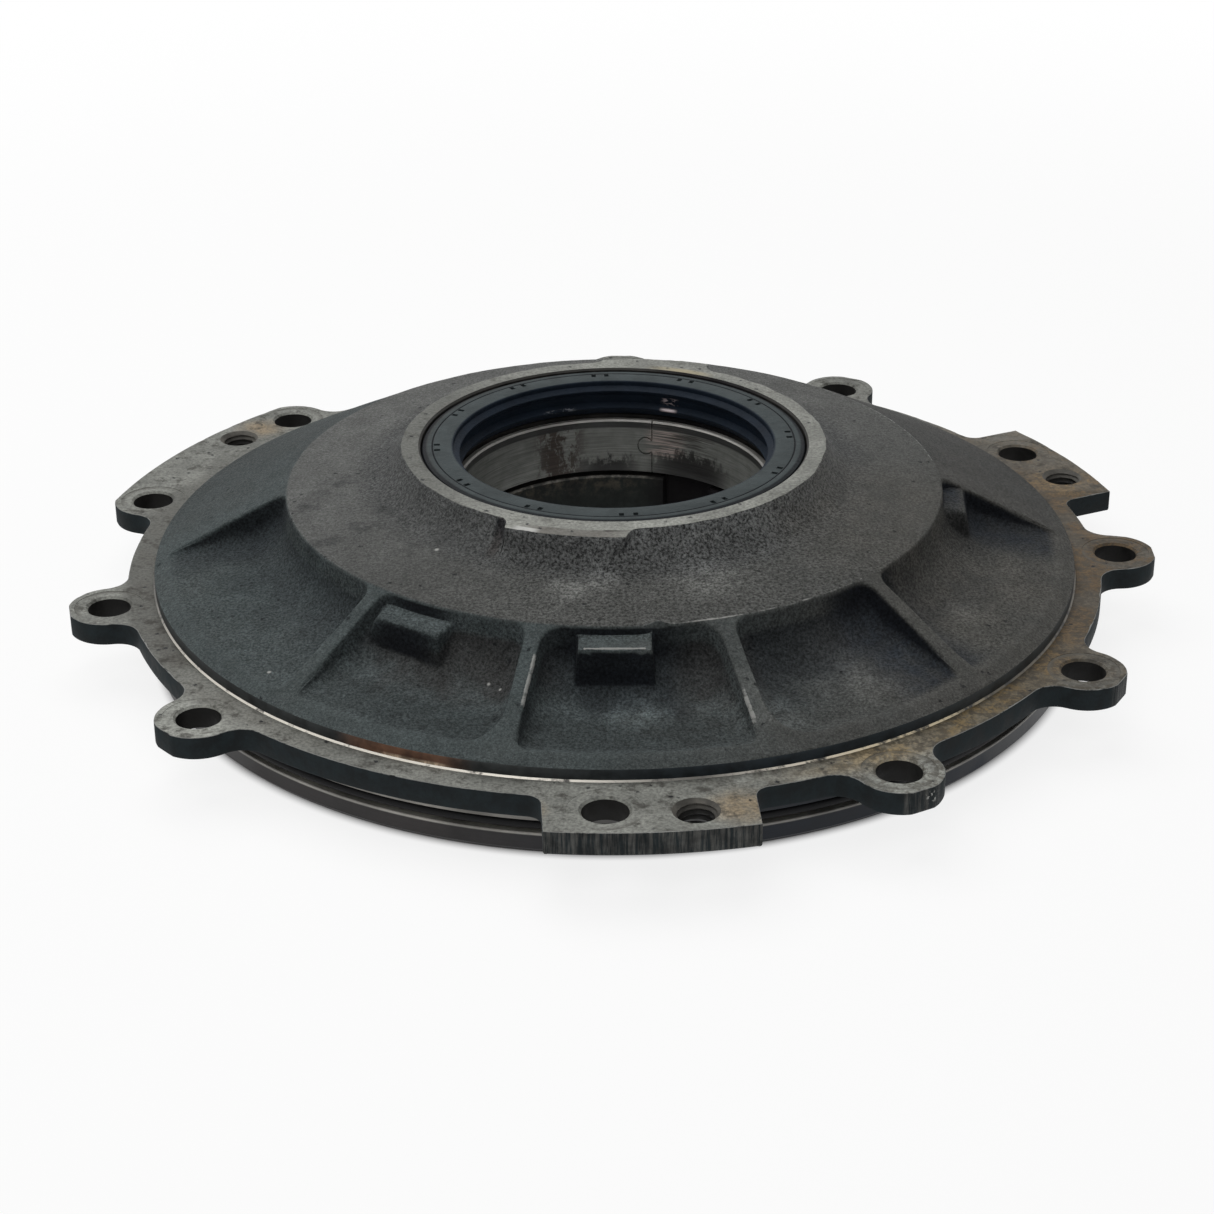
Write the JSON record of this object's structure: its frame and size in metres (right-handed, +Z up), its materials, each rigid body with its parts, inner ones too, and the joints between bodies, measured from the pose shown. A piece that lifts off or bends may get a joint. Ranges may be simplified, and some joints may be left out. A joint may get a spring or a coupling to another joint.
{
  "type": "torque converter housing cover",
  "caption": "Ribbed cast-iron cover of a torque converter housing, with a lugged bolting flange, a grooved spigot, and a shaft seal and plain bush in its open hub.",
  "frame": {"origin": "on the shaft axis, in the plane of the spigot's foot", "axes": "+Z up the shaft axis from the spigot to the hub's outer face, +X through the bolt hole from which the pattern's angles are counted"},
  "size_m": [0.3503, 0.3549, 0.064],
  "materials": {
    "cast_iron": "sand-cast, oily, with machined flange and hub faces",
    "bearing_metal": "worn bearing lining with oil stains",
    "seal_rubber": "moulded, oil-wet at the lips",
    "case_steel": "pressed sheet",
    "spring_steel": "drawn wire",
    "ring_rubber": "moulded, flattened with use"
  },
  "bodies": {
    "root": {"cover_casting": "cast_iron", "shaft_bush": "bearing_metal", "seal_body": "seal_rubber", "seal_case": "case_steel", "garter_spring": "spring_steel", "spigot_ring": "ring_rubber"}
  },
  "joints": []
}
